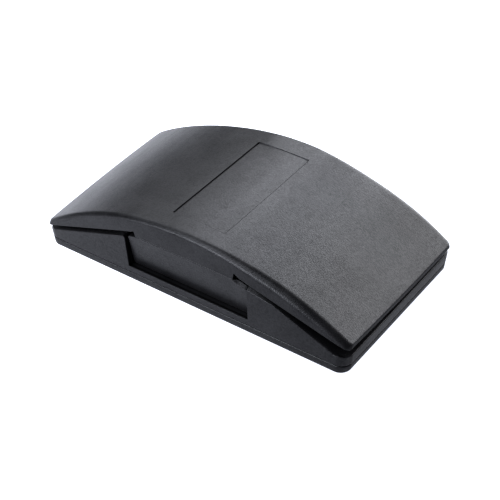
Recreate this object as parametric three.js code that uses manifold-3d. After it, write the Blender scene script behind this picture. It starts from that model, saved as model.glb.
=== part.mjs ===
// Hand sanding block of moulded black rubber, arched on top and flat underneath.
// A strip of abrasive paper wraps the sole, and each end of it is held in a slit:
// the upper jaw of the slit bends up at its root, and nails in the lower jaw spike the paper.
//
// Frame: millimetres, +X along the block, +Z up, origin on the underside at the middle.
// Every interface between two pieces keeps the same small gap.

import * as THREE from "three";
import { mergeVertices } from "three/addons/utils/BufferGeometryUtils.js";
import Module from "manifold-3d";

const wasm = await Module();
wasm.setup();

// ---- driving dimensions --------------------------------------------------------------

const GAP = 0.3;

const BASE_LENGTH = 127; // along the underside
const BASE_WIDTH = 68;
const BASE_CORNER = 4; // plan radius of the four corners
const END_FLARE = 0.14; // how far the ends lean out for each millimetre up
const SOLE_THICKNESS = 3.05;
const LEDGE_TOP = 5.6; // top of the base beside the finger recess
const RECESS_HALF = 25.6; // from the middle to the inner end of a wedge

const CREST = 30.1; // highest point of the arch
const ARCH_RADIUS = 114.3;
const TOP_WIDTH = 67.2;
const RIM_RADIUS = 1.9; // round between the arch and its sides
const JAW_REACH = 64.5; // from the middle to the tip of a jaw
const TIP_CORNER = 2; // plan radius of a jaw's tip corners

const SLIT_STATION = 60; // where the two heights below are taken
const SLIT_FLOOR = 7.75; // top of a wedge
const SLIT_ROOF = 10.05; // underside of a jaw, before it is bent to its resting shape
const FLOOR_SLOPE = 0.322;
const ROOT_X = { left: 21.7, right: 20.2 }; // how near the middle each slit ends
// Where the nose of each wedge meets its end face: the left one is rounded, the right one crisp.
const NOSE_TOP = { left: 6, right: 7.1 };
const NOSE_LENGTH = 2.4;
const TIP_THICKNESS = 1.3;
const SHOULDER_X = 36; // the right wedge is fuller: its top breaks here
const SHOULDER_TOP = 17;

const HINGE_RADIUS = 3; // half the rubber left above the slit root
const HINGE_ANGLE = 10.9; // degrees round the arch from the crest
const LIP_SETBACK = 0.4; // keeps the core's lip clear of the jaw as it opens
const ROOT_SLANT = 0.4;

// The rubber has taken a set: how far the middle of each tip is off the arch, how much more
// its near edge is than its middle, and how far both its edges are bowed down.
const SET = {
  left: { lift: 0.15, twist: -1.27, bow: 0.6 },
  right: { lift: 0.6, twist: 0.9, bow: -0.5 },
};

const PANEL_TOP_WIDTH = 65.6; // core between the wedges, under the crease
const PANEL_BOTTOM_WIDTH = 63;
const CREASE = 19.9; // height where the arch band meets the side panel

const LABEL_LENGTH = 50;
const LABEL_WIDTH = 21.8;
const LABEL_DEPTH = 0.42; // the recess follows the arch

const NAILS_PER_END = 3;
const NAIL_PITCH = 22;
const NAIL_X = 50;
const NAIL_RADIUS = 0.8;
const NAIL_TIP = 14.6;
const NAIL_POINT = 2.2; // length of the tapered point
const HEAD_RADIUS = 2;
const HEAD_THICKNESS = 0.7;
const GROOVE_ROOF = 15.2; // transverse groove in the jaw that swallows the points
const GROOVE_INNER = 47;
const GROOVE_OUTER = 51.3;

const ARCH_STEPS = 240; // facets in a full turn of the arch radius
const ROUND_STEPS = 4; // facets in a small round
const PIN_STEPS = 16;
const SPAN = 200; // longer than the block in any direction

// ---- worked-out places ----------------------------------------------------------------

const ARCH_CENTRE = CREST - ARCH_RADIUS;
const BASE_BOTTOM = SOLE_THICKNESS + GAP;
const HEAD_BOTTOM = BASE_BOTTOM + GAP / 6;
const HINGE_REACH = ARCH_RADIUS - HINGE_RADIUS;
const HINGE_TURN = THREE.MathUtils.degToRad(HINGE_ANGLE);
const HINGE = new THREE.Vector2(
  HINGE_REACH * Math.sin(HINGE_TURN),
  ARCH_CENTRE + HINGE_REACH * Math.cos(HINGE_TURN),
);

const archTop = (x) => ARCH_CENTRE + Math.sqrt(ARCH_RADIUS ** 2 - x ** 2);
const slitFloor = (x) => SLIT_FLOOR + FLOOR_SLOPE * (SLIT_STATION - x);
const NOSE_X = JAW_REACH - NOSE_LENGTH;
const JAW_NOSE = [NOSE_X, SLIT_ROOF + FLOOR_SLOPE * (SLIT_STATION - NOSE_X)];
const sideName = (side) => (side < 0 ? "left" : "right");

// ---- joining and cutting --------------------------------------------------------------

function solidOf(geometry) {
  const bare = geometry.clone();
  bare.deleteAttribute("normal");
  bare.deleteAttribute("uv");
  const welded = mergeVertices(bare.index ? bare.toNonIndexed() : bare, 1e-4);
  return new wasm.Manifold(new wasm.Mesh({
    numProp: 3,
    vertProperties: new Float32Array(welded.attributes.position.array),
    triVerts: new Uint32Array(welded.index.array),
  }));
}

function geometryOf(solid) {
  const mesh = solid.getMesh();
  const geometry = new THREE.BufferGeometry();
  geometry.setAttribute("position", new THREE.BufferAttribute(mesh.vertProperties, 3));
  geometry.setIndex(new THREE.BufferAttribute(mesh.triVerts, 1));
  return geometry;
}

// ---- shape helpers --------------------------------------------------------------------

// A prism across the block. The outline is [x, z] pairs for the +X end, and side -1 mirrors it.
function acrossPrism(outline, side) {
  const points = outline.map(([x, z]) => new THREE.Vector2(side * x, z));
  const options = { depth: SPAN, bevelEnabled: false };
  const geometry = new THREE.ExtrudeGeometry(new THREE.Shape(points), options);
  geometry.rotateX(Math.PI / 2);
  geometry.translate(0, SPAN / 2, 0);
  return solidOf(geometry);
}

// A prism standing on the XY plane: the outline is drawn in X and Y. Its ends lean out by
// flare for each millimetre up.
function uprightPrism(shape, bottom, top, flare = 0) {
  const options = { depth: top - bottom, bevelEnabled: false, curveSegments: ROUND_STEPS };
  const geometry = new THREE.ExtrudeGeometry(shape, options);
  geometry.translate(0, 0, bottom);
  const position = geometry.attributes.position;
  for (let vertex = 0; vertex < position.count; vertex += 1) {
    const x = position.getX(vertex);
    position.setX(vertex, x + Math.sign(x) * flare * position.getZ(vertex));
  }
  return solidOf(geometry);
}

function roundedRectangle(length, width, radius) {
  const x = length / 2;
  const y = width / 2;
  const shape = new THREE.Shape();
  shape.absarc(x - radius, y - radius, radius, 0, Math.PI / 2);
  shape.absarc(-x + radius, y - radius, radius, Math.PI / 2, Math.PI);
  shape.absarc(-x + radius, -y + radius, radius, Math.PI, Math.PI * 1.5);
  shape.absarc(x - radius, -y + radius, radius, Math.PI * 1.5, Math.PI * 2);
  return shape;
}

function box(xLow, xHigh, yLow, yHigh, zLow, zHigh) {
  const geometry = new THREE.BoxGeometry(xHigh - xLow, yHigh - yLow, zHigh - zLow);
  geometry.translate((xLow + xHigh) / 2, (yLow + yHigh) / 2, (zLow + zHigh) / 2);
  return solidOf(geometry);
}

function hingeBar(radius, side) {
  const geometry = new THREE.CylinderGeometry(radius, radius, SPAN, ROUND_STEPS * 8);
  geometry.translate(side * HINGE.x, 0, HINGE.y);
  return solidOf(geometry);
}

function upright(radius, bottom, top, x, y) {
  const geometry = new THREE.CylinderGeometry(radius, radius, top - bottom, PIN_STEPS);
  geometry.rotateX(Math.PI / 2);
  geometry.translate(x, y, (bottom + top) / 2);
  return solidOf(geometry);
}

// The whole ring that the arch is a part of, with its two outer edges rounded.
function archRing() {
  const half = TOP_WIDTH / 2;
  const inner = ARCH_RADIUS / 2;
  const profile = [new THREE.Vector2(inner, -half)];
  for (const side of [-1, 1]) {
    for (let step = 0; step <= ROUND_STEPS; step += 1) {
      const turn = (Math.PI / 2) * (step / ROUND_STEPS - (side < 0 ? 1 : 0));
      profile.push(new THREE.Vector2(
        ARCH_RADIUS - RIM_RADIUS * (1 - Math.cos(turn)),
        side * (half - RIM_RADIUS) + RIM_RADIUS * Math.sin(turn),
      ));
    }
  }
  profile.push(new THREE.Vector2(inner, half), new THREE.Vector2(inner, -half));
  const geometry = new THREE.LatheGeometry(profile, ARCH_STEPS);
  geometry.translate(0, 0, ARCH_CENTRE);
  return solidOf(geometry);
}

// ---- sole and base --------------------------------------------------------------------

// The plan of the sole and base between two heights.
function planBetween(bottom, top) {
  return uprightPrism(
    roundedRectangle(BASE_LENGTH, BASE_WIDTH, BASE_CORNER), bottom, top, END_FLARE,
  );
}

// Side outline of one wedge. It runs a little past the end, which the plan then cuts.
function wedgeOutline(side) {
  const noseTop = NOSE_TOP[sideName(side)];
  const end = BASE_LENGTH / 2 + END_FLARE * noseTop;
  const nose = end - NOSE_LENGTH;
  const bendTop = (noseTop + 2 * slitFloor(nose)) / 3;
  const points = [
    [RECESS_HALF, BASE_BOTTOM],
    [end + NOSE_LENGTH / 3, BASE_BOTTOM],
    [end + NOSE_LENGTH / 3, 2 * noseTop - bendTop],
    [end - NOSE_LENGTH / 3, bendTop],
    [nose, slitFloor(nose)],
  ];
  if (side > 0) {
    points.push([SHOULDER_X, SHOULDER_TOP]);
  }
  points.push([RECESS_HALF, slitFloor(RECESS_HALF)]);
  return points;
}

function nailHole({ x, y }) {
  const headTop = HEAD_BOTTOM + HEAD_THICKNESS + GAP;
  const head = upright(HEAD_RADIUS + GAP, BASE_BOTTOM - GAP, headTop, x, y);
  return head.add(upright(NAIL_RADIUS + GAP, BASE_BOTTOM, CREST, x, y));
}

function nailPlaces() {
  const places = [];
  for (const side of [-1, 1]) {
    for (let index = 0; index < NAILS_PER_END; index += 1) {
      const y = (index - (NAILS_PER_END - 1) / 2) * NAIL_PITCH;
      places.push({ side, index, x: side * NAIL_X, y });
    }
  }
  return places;
}

function makeBase() {
  let base = box(-SPAN / 2, SPAN / 2, -SPAN / 2, SPAN / 2, BASE_BOTTOM, LEDGE_TOP);
  for (const side of [-1, 1]) {
    base = base.add(acrossPrism(wedgeOutline(side), side));
  }
  base = base.intersect(planBetween(BASE_BOTTOM, CREST));
  for (const place of nailPlaces()) {
    base = base.subtract(nailHole(place));
  }
  return base;
}

// ---- core: the middle of the arch and the block under it ------------------------------

// Steps from the hinge axis: out along the arch radius, and down the slope towards the tip.
function fromHinge(outward, onward) {
  return [
    HINGE.x + outward * Math.sin(HINGE_TURN) + onward * Math.cos(HINGE_TURN),
    HINGE.y + outward * Math.cos(HINGE_TURN) - onward * Math.sin(HINGE_TURN),
  ];
}

// The jaw's side of the hinge, with the gap under it.
const jawZone = [
  fromHinge(-HINGE_RADIUS - GAP, 0),
  [JAW_NOSE[0], JAW_NOSE[1] - GAP],
  [SPAN / 2, 0],
  [SPAN / 2, SPAN / 2],
  fromHinge(CREST, -LIP_SETBACK),
  fromHinge(0, -LIP_SETBACK),
];

// The slit between its root and the wedge.
function slitZone(side) {
  const root = ROOT_X[sideName(side)];
  return [
    [root - ROOT_SLANT, CREASE],
    [RECESS_HALF, slitFloor(RECESS_HALF)],
    [SPAN / 2, 0],
    [SPAN / 2, CREST],
    [root, HINGE.y - HINGE_RADIUS],
  ];
}

function labelRecess() {
  const across = LABEL_WIDTH / 2;
  const along = LABEL_LENGTH / 2;
  const radius = ARCH_RADIUS - LABEL_DEPTH;
  const bed = new THREE.CylinderGeometry(radius, radius, SPAN, ARCH_STEPS);
  bed.translate(0, 0, ARCH_CENTRE);
  return box(-across, across, -along, along, 0, SPAN).subtract(solidOf(bed));
}

function makeCore(ring) {
  const half = RECESS_HALF - GAP;
  const bottom = LEDGE_TOP + GAP;
  const lower = PANEL_BOTTOM_WIDTH / 2;
  const upper = PANEL_TOP_WIDTH / 2;
  const panels = new THREE.Shape([
    new THREE.Vector2(-lower, bottom),
    new THREE.Vector2(lower, bottom),
    new THREE.Vector2(upper, CREASE + 1),
    new THREE.Vector2(-upper, CREASE + 1),
  ]);
  const block = new THREE.ExtrudeGeometry(panels, { depth: 2 * half, bevelEnabled: false });
  block.rotateX(Math.PI / 2);
  block.rotateZ(Math.PI / 2);
  block.translate(-half, 0, 0);
  const band = ring.intersect(box(-half, half, -SPAN / 2, SPAN / 2, CREASE, CREST + 1));
  let core = solidOf(block).add(band);
  for (const side of [-1, 1]) {
    core = core.subtract(acrossPrism(jawZone, side));
    core = core.subtract(acrossPrism(slitZone(side), side));
    core = core.subtract(hingeBar(HINGE_RADIUS + GAP, side));
  }
  return core.subtract(labelRecess());
}

// ---- jaws -------------------------------------------------------------------------------

const jawOutline = [
  fromHinge(-HINGE_RADIUS, 0),
  JAW_NOSE,
  [JAW_REACH, archTop(JAW_REACH) - TIP_THICKNESS],
  [JAW_REACH, SPAN],
  fromHinge(CREST, 0),
];

const grooveOutline = [
  [GROOVE_INNER, 0],
  [GROOVE_OUTER, 0],
  [GROOVE_OUTER, GROOVE_ROOF],
  [GROOVE_INNER, GROOVE_ROOF],
];

// A jaw as moulded, before it is bent to its resting shape.
function mouldedJaw(ring, side) {
  const plan = uprightPrism(roundedRectangle(2 * JAW_REACH, TOP_WIDTH, TIP_CORNER), 0, CREST + 1);
  const grooveHalf = ((NAILS_PER_END - 1) / 2) * NAIL_PITCH + HEAD_RADIUS + 1;
  const grooveSpan = box(-SPAN / 2, SPAN / 2, -grooveHalf, grooveHalf, 0, CREST);
  return ring
    .intersect(acrossPrism(jawOutline, side))
    .intersect(plan)
    .add(ring.intersect(hingeBar(HINGE_RADIUS, side)))
    .subtract(acrossPrism(grooveOutline, side).intersect(grooveSpan));
}

// Bends a jaw by nothing at its hinge and most at its tip.
function makeJaw(ring, side) {
  const { lift, twist, bow } = SET[sideName(side)];
  const geometry = geometryOf(mouldedJaw(ring, side));
  const position = geometry.attributes.position;
  const start = HINGE.x + HINGE_RADIUS;
  for (let vertex = 0; vertex < position.count; vertex += 1) {
    const reach = Math.max(0, (side * position.getX(vertex) - start) / (JAW_REACH - start));
    const nearness = -position.getY(vertex) / (TOP_WIDTH / 2);
    const rise = lift + twist * nearness - bow * nearness ** 2;
    position.setZ(vertex, position.getZ(vertex) + reach * rise);
  }
  return geometry;
}

// ---- nails ------------------------------------------------------------------------------

function nailGeometry() {
  const headTop = HEAD_BOTTOM + HEAD_THICKNESS;
  const profile = [
    [0, HEAD_BOTTOM],
    [HEAD_RADIUS, HEAD_BOTTOM],
    [HEAD_RADIUS, headTop],
    [NAIL_RADIUS, headTop],
    [NAIL_RADIUS, NAIL_TIP - NAIL_POINT],
    [0, NAIL_TIP],
  ].map(([radius, z]) => new THREE.Vector2(radius, z));
  const geometry = new THREE.LatheGeometry(profile, PIN_STEPS);
  geometry.rotateX(Math.PI / 2);
  return geometryOf(solidOf(geometry));
}

// ---- assembly ---------------------------------------------------------------------------

const rubber = (colour) => new THREE.MeshStandardMaterial({ color: colour, roughness: 0.6, metalness: 0 });
const steel = () => new THREE.MeshStandardMaterial({ color: 0x9a9c9e, roughness: 0.35, metalness: 1 });

const block = new THREE.Group();

function place(name, geometry, material) {
  const mesh = new THREE.Mesh(geometry, material);
  mesh.name = name;
  block.add(mesh);
  return mesh;
}

const ring = archRing();

place("sole_pad", geometryOf(planBetween(0, SOLE_THICKNESS)), rubber(0x1d1e20));
place("base_block", geometryOf(makeBase()), rubber(0x222326));
place("grip_core", geometryOf(makeCore(ring)), rubber(0x26272a));
for (const side of [-1, 1]) {
  place(`${sideName(side)}_jaw`, makeJaw(ring, side), rubber(0x26272a));
}

for (const { side, index, x, y } of nailPlaces()) {
  const name = `${sideName(side)}_nail_${index + 1}`;
  place(name, nailGeometry(), steel()).position.set(x, y, 0);
}

export default block;
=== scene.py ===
"""Hand sanding block: the looks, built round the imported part, in metres in its frame."""

import math

import bpy
import numpy as np
from mathutils import Matrix, Vector


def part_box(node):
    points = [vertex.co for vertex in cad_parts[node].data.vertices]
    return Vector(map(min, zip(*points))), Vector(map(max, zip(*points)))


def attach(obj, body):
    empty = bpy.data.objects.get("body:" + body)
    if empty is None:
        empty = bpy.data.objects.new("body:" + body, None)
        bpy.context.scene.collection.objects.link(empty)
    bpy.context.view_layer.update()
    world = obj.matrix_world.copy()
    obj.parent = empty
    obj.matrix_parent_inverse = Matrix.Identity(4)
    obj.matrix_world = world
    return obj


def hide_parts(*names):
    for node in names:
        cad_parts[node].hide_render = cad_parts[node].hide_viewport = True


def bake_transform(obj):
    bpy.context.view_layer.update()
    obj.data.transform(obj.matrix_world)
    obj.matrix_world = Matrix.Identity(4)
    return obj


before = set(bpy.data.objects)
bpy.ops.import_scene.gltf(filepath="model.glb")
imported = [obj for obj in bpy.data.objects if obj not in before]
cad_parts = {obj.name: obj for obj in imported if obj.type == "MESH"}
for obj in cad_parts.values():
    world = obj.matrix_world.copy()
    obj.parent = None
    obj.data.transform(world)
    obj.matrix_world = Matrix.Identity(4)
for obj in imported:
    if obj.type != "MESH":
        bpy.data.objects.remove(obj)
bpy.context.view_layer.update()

# ---- dimensions, in millimetres --------------------------------------------------------

BASE_LOW, BASE_HIGH = (np.array(corner) * 1000 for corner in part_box("base_block"))
SOLE_LOW, SOLE_HIGH = (np.array(corner) * 1000 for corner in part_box("sole_pad"))
CORE_LOW, CORE_HIGH = (np.array(corner) * 1000 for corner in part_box("grip_core"))
SOLE_EDGES = (0.5, 0.45)  # rounds along the sole's lower and upper edges
BASE_END = 63.5  # from the middle to an end, at the underside
END_FLARE = 0.14  # how far the ends lean out for each millimetre up
BASE_SIDE = BASE_HIGH[1]
BASE_BOTTOM = BASE_LOW[2]
BASE_CORNER = 4.0
LEDGE = 5.6  # top of the base beside the finger recess
RECESS_END = 25.6  # from the middle to the inner end of a wedge
BASE_EDGE = 0.4  # round along the base's lower edges
NOSE_TOP = {-1: 6.0, 1: 7.1}  # by side: -1 is the left end and 1 the right
LIP = 0.35  # how much the right nose's crisp edge stands up
LIP_START = 61.4
LEFT_BEVEL = (0.8, 0.3)  # how far the left nose's bevel runs in, and how high it stands
SHOULDER = (36.0, 17.0)  # the right wedge's top breaks here
INNER_TOP = 19.75
TOP_BEVEL = 1.1  # on the right wedge's upper side edges, at their inner ends

CREST = 30.1
ARCH_RADIUS = 114.3
ARCH_CENTRE = CREST - ARCH_RADIUS
ARCH_SIDE = 33.6
RIM = (1.9, 2.9)  # radius of the arch's rounded edges, usual and largest
JAW_END = 64.5
TIP_CORNER = 2.0
TIP_ROUND = 0.3
CORNER_BLEND = 29.0  # the tip's corners narrow the arch only outside this half width
SEAM_X = 15.5  # where the skins of the middle and of a jaw meet

SLIT_STATION, SLIT_FLOOR = 60, 7.75  # one point on top of a wedge
FLOOR_SLOPE = 0.322
ROOF_START = (20.48, 22.15)  # the jaw's underside runs straight from here
ROOF_NOSE = (62.1, 9.37)
TIP_UNDERSIDE = {-1: 8.86, 1: 8.5}
CREASE = 19.9  # where the arch meets the block between the panels
ROOT = {-1: 21.7, 1: 20.1}  # how near the middle each slit ends
BULB = {-1: 0.25, 1: 0.7}  # how much each slit widens at its root
SET = {-1: (0.15, -1.27, 0.6), 1: (0.6, 0.9, -0.5)}  # lift, twist and bow of each tip
HINGE_X = 21.05

# Each wave of the far rim: its middle along the block, how long it is and how high.
WAVES = ((-44, 21.5, -0.66), (9.2, 18.5, 0.73), (49.6, 15, 0.56))

LABEL_X, LABEL_Y, LABEL_DEPTH = 10.9, 25.0, 0.42
GROOVE_X, GROOVE_Y, GROOVE_ROOF = (47.0, 51.3), 25.0, 15.2


def arch(x):
    return ARCH_CENTRE + math.sqrt(ARCH_RADIUS**2 - x * x)


def slit_floor(x):
    return SLIT_FLOOR + FLOOR_SLOPE * (SLIT_STATION - x)


# ---- mesh making -------------------------------------------------------------------------


def solid(name, rings):
    """A closed mesh through rings of as many points each, its two ends closed."""
    count = len(rings[0])
    points = np.array(rings, float).reshape(-1, 3) * 0.001
    faces = []
    for k in range(len(rings) - 1):
        for i in range(count):
            j = (i + 1) % count
            low, high = k * count, (k + 1) * count
            faces.append((low + i, low + j, high + j, high + i))
    faces.append(tuple(range(count))[::-1])
    faces.append(tuple(range((len(rings) - 1) * count, len(rings) * count)))
    mesh = bpy.data.meshes.new(name)
    mesh.from_pydata([tuple(p) for p in points], [], faces)
    if volume(points, faces) < 0:
        mesh.flip_normals()
    mesh.polygons.foreach_set("use_smooth", [True] * len(mesh.polygons))
    mesh.set_sharp_from_angle(angle=math.radians(38))
    piece = bpy.data.objects.new(name, mesh)
    bpy.context.scene.collection.objects.link(piece)
    return piece


def volume(points, faces):
    total = 0.0
    for face in faces:
        a = points[face[0]]
        for i in range(1, len(face) - 1):
            total += a @ np.cross(points[face[i]], points[face[i + 1]])
    return total


def unit(v):
    return v / np.linalg.norm(v)


def rounded(corners, radii, inset=0.0, steps=6, hold=0.06):
    """Points round an anticlockwise outline, its corners rounded, moved inwards by inset."""
    corners = [np.array(c, float) for c in corners]
    count = len(corners)
    points = []
    for i, here in enumerate(corners):
        before = unit(here - corners[i - 1])
        after = unit(corners[(i + 1) % count] - here)
        inward = np.array([-before[1], before[0]])
        inward_after = np.array([-after[1], after[0]])
        centre = here + (inward + inward_after) * inset / (1 + inward @ inward_after)
        bend = before[0] * after[1] - before[1] * after[0]
        turn = math.atan2(bend, before @ after)
        radius = max(radii[i] - inset if turn > 0 else radii[i] + inset, 0.02)
        reach = radius * math.tan(abs(turn) / 2)
        pivot = centre - before * reach + inward * radius * np.sign(turn)
        start = centre - before * reach - pivot
        points.append(centre - before * (reach + hold))
        for k in range(steps + 1):
            a = turn * k / steps
            swing = np.array([[math.cos(a), -math.sin(a)], [math.sin(a), math.cos(a)]])
            points.append(pivot + swing @ start)
        points.append(centre + after * (reach + hold))
    return points


def edge_stations(end, radius, steps=5):
    """Places near an end, each with the inset that rounds the edge there."""
    places = []
    for k in range(steps + 1):
        a = math.pi / 2 * k / steps
        places.append((end - radius + radius * math.sin(a), radius * (1 - math.cos(a))))
    places.append((end, radius + 0.04))
    return places


def both_ends(places, middle=()):
    """Stations from one end to the other, the same at both ends."""
    return (
        [(-place, inset) for place, inset in reversed(places)]
        + [(place, 0.0) for place in middle]
        + places
    )


# ---- sole and base -----------------------------------------------------------------------


def make_sole():
    x, y = BASE_END, SOLE_HIGH[1]
    outline = [(-x, -y), (x, -y), (x, y), (-x, y)]
    low, high = (
        [(edge * (1 - math.sin(a)), edge * (1 - math.cos(a))) for a in quarter(5)] for edge in SOLE_EDGES
    )
    stations = [(SOLE_LOW[2], SOLE_EDGES[0] + 0.06)]
    stations += [(SOLE_LOW[2] + rise, inset) for rise, inset in reversed(low)]
    stations += [(SOLE_HIGH[2] - drop, inset) for drop, inset in high]
    stations.append((SOLE_HIGH[2], SOLE_EDGES[1] + 0.05))
    rings = []
    for z, inset in stations:
        plan = rounded(outline, [BASE_CORNER] * 4, inset, steps=14)
        rings.append([(px + math.copysign(END_FLARE * z, px), py, z) for px, py in plan])
    return solid("sole", rings)


def quarter(steps):
    return [math.pi / 2 * k / steps for k in range(steps + 1)]


def base_outline():
    """Corners of the base seen from the side, each with its radius."""
    bottom_end = BASE_END + END_FLARE * BASE_BOTTOM
    left_end, right_end = (BASE_END + END_FLARE * NOSE_TOP[side] for side in (-1, 1))
    bevel_x = left_end - LEFT_BEVEL[0]
    return [
        ((-bottom_end, BASE_BOTTOM), BASE_EDGE),
        ((bottom_end, BASE_BOTTOM), BASE_EDGE),
        ((right_end - 0.02, NOSE_TOP[1] + LIP), 0.3),
        ((LIP_START, slit_floor(LIP_START) + 0.15), 1.5),
        (SHOULDER, 4.0),
        ((RECESS_END, INNER_TOP), 0.3),
        ((RECESS_END, LEDGE), 0.3),
        ((-RECESS_END, LEDGE), 0.3),
        ((-RECESS_END - 0.6, slit_floor(RECESS_END + 0.6)), 0.8),
        ((-bevel_x, slit_floor(bevel_x) + LEFT_BEVEL[1]), 0.25),
        ((-left_end, NOSE_TOP[-1]), 0.9),
    ]


def corner_cut(y):
    """How much shorter the base is at y than in the middle, its corners being round in plan."""
    over = max(0.0, abs(y) - (BASE_SIDE - BASE_CORNER))
    return BASE_CORNER - math.sqrt(max(0.0, BASE_CORNER**2 - over**2))


def edge_bevel(x, y, z):
    """How far the right wedge's upper edge is bevelled down, most at its inner end."""
    if z < SHOULDER[1] - 1 or x < RECESS_END:
        return 0.0
    outwards = max(0.0, abs(y) - (BASE_SIDE - TOP_BEVEL))
    return smooth((38 - x) / 12) * outwards


def make_base():
    corners, radii = zip(*base_outline())
    corner_start = BASE_SIDE - BASE_CORNER
    plan_steps = [corner_start + BASE_CORNER * math.sin(math.radians(a)) for a in range(0, 64, 8)]
    ends = [(y, 0.0) for y in (*plan_steps, BASE_SIDE - TOP_BEVEL, BASE_SIDE - 0.6)]
    ends += edge_stations(BASE_SIDE, 0.15)
    rings = []
    for y, inset in both_ends(ends, [-20.0, -10.0, 0.0, 10.0, 20.0]):
        cut = corner_cut(y)
        ring = []
        for px, pz in rounded(corners, radii, inset):
            share = max(0.0, (abs(px) - 55) / (BASE_END + END_FLARE * pz - 55))
            ring.append((px - math.copysign(cut * share, px), y, pz - edge_bevel(px, y, pz)))
        rings.append(ring)
    return solid("base", rings)


# ---- the arch: a middle and two jaws -----------------------------------------------------


def smooth(t):
    t = min(1.0, max(0.0, t))
    return t * t * (3 - 2 * t)


def sunk(distance, width=0.12):
    """0 outside an edge and 1 inside it, over a narrow wall."""
    return smooth(0.5 + distance / (2 * width))


def top_height(x, y):
    """Height of the upper face: the arch, the sunk label and the fine groove round it."""
    inwards = min(LABEL_X - abs(x), LABEL_Y - abs(y))
    groove = smooth(inwards / 0.1) * (1 - smooth((inwards - 0.25) / 0.15))
    return arch(x) - LABEL_DEPTH * sunk(inwards, 0.06) - 0.2 * groove


def underside(u, y, side):
    """Height of the lower face of the arch at u millimetres from the middle."""
    if u < ROOT[side] - 0.4:
        return CREASE
    slope = (ROOF_NOSE[1] - ROOF_START[1]) / (ROOF_NOSE[0] - ROOF_START[0])
    roof = ROOF_START[1] + slope * (u - ROOF_START[0])
    if u > ROOF_NOSE[0]:
        share = (u - ROOF_NOSE[0]) / (JAW_END - ROOF_NOSE[0])
        roof = ROOF_NOSE[1] + (TIP_UNDERSIDE[side] - ROOF_NOSE[1]) * share
    groove = sunk(u - GROOVE_X[0]) * sunk(GROOVE_X[1] - u) * sunk(GROOVE_Y - abs(y))
    roof += (GROOVE_ROOF - roof) * groove
    bulb = BULB[side] * smooth((ROOT[side] + 1.5 - u) / 0.8)
    opening = smooth((u - ROOT[side] + 0.4) / 0.8)
    return CREASE + (roof + bulb - CREASE) * opening


def near_rim(x):
    """Radius of the arch's near edge, which grows along the right jaw."""
    return RIM[0] + (RIM[1] - RIM[0]) * smooth((x - 4) / 34)


def side_half(x, z, radius):
    """Half width of the arch at height z, round its rim and down its side."""
    drop = ARCH_RADIUS - math.hypot(x, z - ARCH_CENTRE)
    if drop >= radius:
        return ARCH_SIDE
    return rim_half(math.acos(max(-1.0, min(1.0, 1 - max(0.0, drop) / radius))), radius)


def rim_half(turn, radius):
    return ARCH_SIDE - radius + radius * math.sin(turn)


def rim_height(x, turn, radius):
    return ARCH_CENTRE + math.sqrt((ARCH_RADIUS - radius * (1 - math.cos(turn))) ** 2 - x * x)


EDGE_STEPS = (-0.5, -0.4, -0.3, -0.2, -0.12, -0.06, 0.0, 0.06, 0.12, 0.2)


def spread(edge, breaks, step=2.5):
    """Places from one edge to the other, closer together at each break."""
    places = set(np.linspace(-edge, edge, int(2 * edge / step)).tolist())
    for place in breaks:
        for offset in EDGE_STEPS:
            places.update((place + offset, -place - offset))
    return sorted(p for p in places if abs(p) <= edge)


TOP_PLACES = spread(ARCH_SIDE - RIM[1] - 0.06, [LABEL_Y])
LOWER_PLACES = spread(ARCH_SIDE - 0.6, [GROOVE_Y])


def arch_side(x, edge_low, radius):
    """Points up one side of the arch and over its rim."""
    edge_round = min(0.35, 0.3 * (arch(x) - edge_low))
    points = []
    for a in quarter(4):
        z = edge_low + edge_round * (1 - math.cos(a))
        points.append((side_half(x, z, radius) - edge_round * (1 - math.sin(a)), z))
    start = edge_low + edge_round
    turn = math.pi / 2
    while rim_height(x, turn, radius) < start + 0.08 and turn > 0.05:
        turn -= 0.02
    rim_start = rim_height(x, turn, radius)
    for share in (0.04, 0.35, 0.7, 0.96):
        z = start + (rim_start - start) * share
        points.append((side_half(x, z, radius), z))
    for k in range(12):
        a = turn * (1 - k / 11)
        points.append((rim_half(a, radius), rim_height(x, a, radius)))
    return points


def arch_section(x, side, squeeze=1.0):
    """Points round the arch at one place along it."""
    u = abs(x)
    edge_low = underside(u, ARCH_SIDE, side)
    low = [(y, underside(u, y, side)) for y in LOWER_PLACES]
    far = arch_side(x, edge_low, RIM[0])
    top = [(y, top_height(x, y)) for y in reversed(TOP_PLACES)]
    near = [(-y, z) for y, z in reversed(arch_side(x, edge_low, near_rim(x)))]
    middle = (arch(x) + edge_low) / 2
    ring = [*low, *far, *top, *near]
    return [tip_plan(x, y, middle + (z - middle) * squeeze, side) for y, z in ring]


def tip_plan(x, y, z, side):
    """Rounds the tip's corners in plan, and adds the set the jaw has taken."""
    u = abs(x)
    over = max(0.0, u - (JAW_END - TIP_CORNER))
    widest = ARCH_SIDE - TIP_CORNER + math.sqrt(max(0.0, TIP_CORNER**2 - over**2))
    if abs(y) > CORNER_BLEND:
        share = (abs(y) - CORNER_BLEND) / (ARCH_SIDE - CORNER_BLEND)
        y = math.copysign(CORNER_BLEND + share * (widest - CORNER_BLEND), y)
    lift, twist, bow = SET[side]
    t = (u - HINGE_X - 1) / (JAW_END - HINGE_X - 1)
    reach = 0.0 if t <= 0 else (t * t / 0.4 if t < 0.2 else t - 0.1) / 0.9
    nearness = -y / ARCH_SIDE
    z += reach * (lift + twist * nearness - bow * nearness**2)
    return (x, y, min(CREST, z + warp(x) * max(0.0, -nearness) ** 2))


def warp(x):
    """How far the far rim stands off a true arc, the rubber having warped a little."""
    return sum(height * math.exp(-(((x - middle) / length) ** 2)) for middle, length, height in WAVES)


def make_middle():
    places = set(np.linspace(-SEAM_X, SEAM_X, 15).tolist())
    for offset in EDGE_STEPS:
        places.update((LABEL_X + offset, -LABEL_X - offset))
    places.update((SEAM_X - 0.02, 0.02 - SEAM_X))
    rings = [arch_section(x, 1) for x in sorted(places)]
    return solid("arch_middle", rings)


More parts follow.
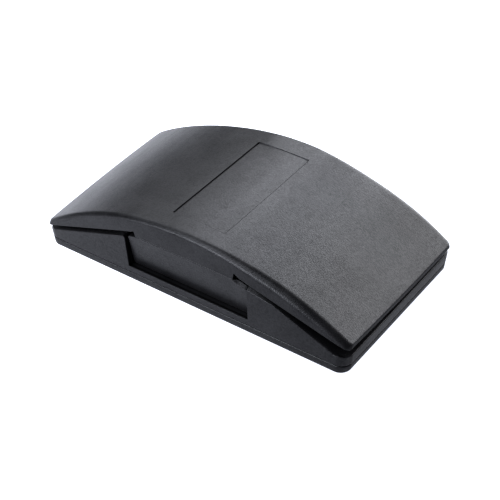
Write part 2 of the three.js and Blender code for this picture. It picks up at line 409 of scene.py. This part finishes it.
def make_jaw(name, side):
    root = ROOT[side]
    places = {SEAM_X, SEAM_X + 0.02}
    places.update(np.linspace(SEAM_X + 1, 62, 40).tolist())
    places.update(np.linspace(root - 0.5, root + 0.5, 9).tolist())
    for edge in GROOVE_X:
        places.update(edge + offset for offset in EDGE_STEPS)
    corner_start = JAW_END - TIP_CORNER
    places.update(corner_start + TIP_CORNER * math.sin(math.radians(a)) for a in range(0, 50, 8))
    sections = [arch_section(side * u, side) for u in sorted(places)]
    thick = arch(JAW_END) - TIP_UNDERSIDE[side]
    for u, inset in edge_stations(JAW_END, TIP_ROUND):
        sections.append(arch_section(side * u, side, 1 - 2 * inset / thick))
    return solid(name, sections)


# ---- the block between the finger panels -------------------------------------------------


def make_grip():
    """The block between the panels. Its upper edges meet the arch in a fine crease."""
    bottom, top = CORE_LOW[2], CREASE - 0.2
    end = CORE_HIGH[0]
    rings = []
    for x, inset in both_ends(edge_stations(end, 0.5), np.linspace(-24, 24, 33).tolist()):
        drop = max(0.0, abs(x) - 21.3) * 0.25
        bevel = 0.1 + 0.9 * smooth((x - 19.6) / 1.2)
        close = 0.18 * smooth((x - 4) / 10) * (1 - smooth((x - 18) / 1.5))
        outline = [
            (-31.5, bottom), (31.5, bottom), (33.3, top - bevel), (33.3 - bevel, top),
            (bevel - 33.3, top), (-33.3, top - bevel),
        ]
        ring = []
        for py, pz in rounded(outline, [0.3, 0.3, 0.1, 0.1, 0.1, 0.1], inset):
            share = (pz - bottom) / (top - bottom)
            ring.append((x, py, pz + (close - drop) * share))
        rings.append(ring)
    return solid("grip_block", rings)


# ---- nails -------------------------------------------------------------------------------


def make_nail(node):
    low, high = (np.array(corner) * 1000 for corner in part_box(node))
    x, y = (low[0] + high[0]) / 2, (low[1] + high[1]) / 2
    profile = [
        (0.3, low[2]), (1.75, low[2] + 0.02), (1.95, low[2] + 0.15), (1.95, low[2] + 0.5),
        (1.75, low[2] + 0.68), (0.95, low[2] + 0.7), (0.8, low[2] + 0.85),
        (0.8, high[2] - 2.3), (0.78, high[2] - 2.1), (0.08, high[2] - 0.05), (0.03, high[2]),
    ]
    rings = []
    for radius, z in profile:
        angles = [2 * math.pi * k / 32 for k in range(32)]
        rings.append([(x + radius * math.cos(a), y + radius * math.sin(a), z) for a in angles])
    return solid(node.replace("nail", "spike"), rings)


# ---- materials ---------------------------------------------------------------------------


class Nodes:
    """A material's node tree, with short calls to add and join nodes."""

    def __init__(self, name):
        self.material = bpy.data.materials.new(name)
        self.material.use_nodes = True
        self.tree = self.material.node_tree
        self.shader = self.tree.nodes["Principled BSDF"]
        self.coordinates = self.add("ShaderNodeTexCoord").outputs
        self.place = self.coordinates["Object"]

    def add(self, kind, **inputs):
        node = self.tree.nodes.new(kind)
        for key, value in inputs.items():
            self.set(node, key, value)
        return node

    def set(self, node, key, value):
        socket = node.inputs[key]
        if isinstance(value, bpy.types.NodeSocket):
            self.tree.links.new(value, socket)
        else:
            socket.default_value = value

    def noise(self, scale, detail=3.0, stretch=(1, 1, 1), turn=0.0, twist=0.0):
        mapping = self.add("ShaderNodeMapping", Vector=self.place, Scale=stretch)
        mapping.inputs["Rotation"].default_value = (0, 0, turn)
        node = self.add("ShaderNodeTexNoise", Vector=mapping.outputs[0], Scale=scale, Detail=detail)
        node.inputs["Distortion"].default_value = twist
        return node.outputs["Fac"]

    def ramp(self, value, low, high, to_low=0.0, to_high=1.0):
        node = self.add("ShaderNodeMapRange", Value=value)
        for key, number in zip(
            ("From Min", "From Max", "To Min", "To Max"), (low, high, to_low, to_high)
        ):
            node.inputs[key].default_value = number
        return node.outputs["Result"]

    def maths(self, operation, a, b):
        node = self.tree.nodes.new("ShaderNodeMath")
        node.operation = operation
        self.set(node, 0, a)
        self.set(node, 1, b)
        return node.outputs[0]

    def mix(self, share, low, high):
        node = self.tree.nodes.new("ShaderNodeMix")
        node.data_type = "RGBA"
        self.set(node, 0, share)
        self.set(node, 6, low)
        self.set(node, 7, high)
        return node.outputs[2]

    def bump(self, height, distance, strength=1.0, normal=None):
        node = self.add("ShaderNodeBump", Height=height, Distance=distance, Strength=strength)
        if normal is not None:
            self.set(node, "Normal", normal)
        return node.outputs["Normal"]


def rubber(name, dark, light, roughness):
    """Dull black rubber, with painted shade on its end faces (less reflection there): fine grain, rubbed
    streaks, one faint flow line.
    """
    n = Nodes(name)
    cloud = n.noise(70, 4)
    swirl = n.noise(420, 4, twist=1.5)
    grain = n.noise(1900, 3)
    streak = n.noise(300, 3, stretch=(1.0, 0.15, 1.0), turn=0.45)
    n.set(n.shader, "Base Color", n.mix(n.ramp(cloud, 0.35, 0.65), (*dark, 1), (*light, 1)))
    speckled = n.ramp(grain, 0.25, 0.75, -0.036, 0.036)
    shine = n.maths("ADD", speckled, n.ramp(swirl, 0.3, 0.7, -0.014, 0.014))
    shine = n.maths("ADD", shine, n.ramp(cloud, 0.3, 0.7, 0.094, 0.11))
    shine = n.maths("ADD", shine, n.maths("MULTIPLY", flow_line(n), 0.014))
    # Painted shade: the reflection is turned down on the end faces.
    n.set(n.shader, "Specular IOR Level", n.maths("MULTIPLY", shine, shade_painted_on_ends(n)))
    n.shader.inputs["Specular Tint"].default_value = (0.92, 0.935, 1.0, 1)
    rubbed = n.ramp(streak, 0.4, 0.75, 0.0, 0.05)
    cloudy = n.ramp(cloud, 0.3, 0.7, roughness - 0.02, roughness + 0.02)
    n.set(n.shader, "Roughness", n.maths("ADD", cloudy, rubbed))
    pitted = n.bump(grain, 0.00009, 0.5)
    n.set(n.shader, "Normal", n.bump(streak, 0.00004, 0.3, pitted))
    return n.material


def shade_painted_on_ends(n):
    """Painted shade: 1 on most faces, and less on those that face along the block, so the end faces
    reflect less light.
    """
    facing = n.add("ShaderNodeSeparateXYZ", Vector=n.coordinates["Normal"]).outputs[0]
    return n.ramp(n.maths("ABSOLUTE", facing, 0.0), 0.85, 0.97, 1.0, 0.25)


def flow_line(n):
    """1 along a faint line that the moulding left on top of the left end, 0 elsewhere."""
    axes = n.add("ShaderNodeSeparateXYZ", Vector=n.place).outputs
    path = n.maths("ADD", n.maths("MULTIPLY", axes[0], 0.07), 0.0285)
    off = n.maths("ABSOLUTE", n.maths("SUBTRACT", axes[1], path), 0.0)
    return n.maths("MULTIPLY", n.ramp(off, 0.0007, 0.0001), n.ramp(axes[0], -0.012, -0.018))


def steel(name):
    n = Nodes(name)
    drawn = n.noise(900, 2, stretch=(1, 1, 0.05))
    n.set(n.shader, "Base Color", n.mix(drawn, (0.42, 0.42, 0.43, 1), (0.62, 0.62, 0.62, 1)))
    n.set(n.shader, "Roughness", n.ramp(drawn, 0.3, 0.7, 0.22, 0.38))
    n.shader.inputs["Metallic"].default_value = 1.0
    return n.material


# ---- camera, floor and lights ------------------------------------------------------------

CAMERA_ANGLES = (37.319, 38.698, -2.481)  # degrees round from -Y, degrees up, roll
CAMERA_PLACE = (0.001512, 0.00094, 0.462785)  # metres across, up and back from the origin
LENS = 92.75


def place_camera():
    azimuth, elevation, roll = (math.radians(a) for a in CAMERA_ANGLES)
    back = Vector((
        math.sin(azimuth) * math.cos(elevation),
        -math.cos(azimuth) * math.cos(elevation),
        math.sin(elevation),
    ))
    right = (-back).cross(Vector((0, 0, 1))).normalized()
    up = right.cross(-back)
    across = right * math.cos(roll) + up * math.sin(roll)
    upward = up * math.cos(roll) - right * math.sin(roll)
    data = bpy.data.cameras.new("camera")
    data.lens = LENS
    data.sensor_width = 36
    camera = bpy.data.objects.new("camera", data)
    turn = Matrix((across, upward, back)).transposed().to_4x4()
    spot = across * CAMERA_PLACE[0] + upward * CAMERA_PLACE[1] + back * CAMERA_PLACE[2]
    camera.matrix_world = Matrix.Translation(spot) @ turn
    bpy.context.scene.collection.objects.link(camera)
    bpy.context.scene.camera = camera


# Each soft box: where it stands as seen from the block (degrees round from +X, degrees up),
# how wide and tall it looks (degrees), and how bright it is.
SOFT_BOXES = {
    "back_low": (90, 8, 50, 16, 16.8),
    "back_right": (70, 33, 40, 24, 17.7),
    "back_high": (105, 38, 32, 28, 16.2),
    "back_left": (145, 45, 36, 26, 5.2),
    "back_left_low": (145, 24, 30, 16, 1.5),
    "left_high": (185, 48, 34, 26, 3.5),
    "overhead": (185, 66, 50, 24, 2.7),
    "overhead_right": (74, 56, 30, 22, 3.6),
    "right_low": (38, 15, 30, 16, 6.8),
    "front_low": (247, 6, 20, 12, 52.0),
    "front_left": (240, 20, 24, 14, 4.1),
    "front_right": (254, 18, 18, 14, 9.0),
    "front_left_high": (238, 36, 26, 16, 7.3),
    "front_right_high": (246, 37, 22, 16, 10.5),
    "front_top": (240, 54, 34, 20, 7.0),
}
LIGHT_DISTANCE = 1.5
WHITE = (1.0, 1.0, 1.0)
COOL = (0.93, 0.95, 1.0)
NEUTRAL = ("back_right", "overhead_right")  # every other soft box is cool
WORLD_GLOW = 0.02
FLOOR_GLOW = (1.17, 2.48)  # at the right and at the left of the block
FLOOR_TINT = (0.86, 0.89, 1)


def soft_box(name, turn, height, wide, tall, brightness):
    turn, height, wide, tall = (math.radians(a) for a in (turn, height, wide, tall))
    data = bpy.data.lights.new(name, "AREA")
    data.shape = "RECTANGLE"
    data.size = 2 * LIGHT_DISTANCE * math.tan(wide / 2)
    data.size_y = 2 * LIGHT_DISTANCE * math.tan(tall / 2)
    data.energy = math.pi * data.size * data.size_y * brightness
    data.color = WHITE if name in NEUTRAL else COOL
    light = bpy.data.objects.new(name, data)
    level = math.cos(height)
    light.location = LIGHT_DISTANCE * Vector(
        (math.cos(turn) * level, math.sin(turn) * level, math.sin(height))
    )
    light.rotation_mode = "QUATERNION"
    light.rotation_quaternion = light.location.to_track_quat("Z", "Y")
    bpy.context.scene.collection.objects.link(light)


def make_floor():
    """A pale floor that gives its own light, a little more of it towards the left."""
    bpy.ops.mesh.primitive_plane_add(size=6, location=(0, 0, -0.0002))
    floor = bpy.context.object
    floor.name = "floor"
    n = Nodes("pale_floor")
    mottle = n.mix(n.noise(3), (0.03, 0.03, 0.03, 1), (0.035, 0.035, 0.035, 1))
    n.set(n.shader, "Base Color", mottle)
    n.shader.inputs["Roughness"].default_value = 0.9
    along = n.add("ShaderNodeSeparateXYZ", Vector=n.place).outputs[0]
    n.shader.inputs["Emission Color"].default_value = (*FLOOR_TINT, 1)
    n.set(n.shader, "Emission Strength", n.ramp(along, 0.08, -0.08, *FLOOR_GLOW))
    floor.data.materials.append(n.material)


def light_scene():
    world = bpy.data.worlds.new("studio")
    world.use_nodes = True
    background = world.node_tree.nodes["Background"]
    background.inputs["Color"].default_value = (*WHITE, 1)
    background.inputs["Strength"].default_value = WORLD_GLOW
    bpy.context.scene.world = world
    for name, numbers in SOFT_BOXES.items():
        soft_box(name, *numbers)
    bpy.context.scene.view_settings.view_transform = "Standard"


# ---- assembly ----------------------------------------------------------------------------

moulded = rubber("moulded_rubber", (0.0015, 0.0015, 0.0018), (0.003, 0.003, 0.0034), 0.33)
sole_rubber = rubber("sole_rubber", (0.0018, 0.0018, 0.0021), (0.0034, 0.0034, 0.0038), 0.38)
nail_steel = steel("nail_steel")


def finish_piece(piece, material, slot, *nodes):
    piece.data.materials.append(material)
    if nodes:
        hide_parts(*nodes)


sole = make_sole()
finish_piece(sole, sole_rubber, "sole_rubber", "sole_pad")
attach(sole, "block")
base = make_base()
finish_piece(base, moulded, "moulded_rubber", "base_block")
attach(base, "block")
grip = make_grip()
finish_piece(grip, moulded, "moulded_rubber", "grip_core")
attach(grip, "block")
middle = make_middle()
finish_piece(middle, moulded, "moulded_rubber", "grip_core")
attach(middle, "block")
for side, body in ((-1, "left_jaw"), (1, "right_jaw")):
    jaw = make_jaw(body + "_skin", side)
    finish_piece(jaw, moulded, "moulded_rubber", body)
    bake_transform(jaw)
for node in sorted(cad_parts):
    if "_nail_" in node:
        nail = make_nail(node)
        finish_piece(nail, nail_steel, "nail_steel", node)
        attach(nail, "block")

place_camera()
make_floor()
light_scene()
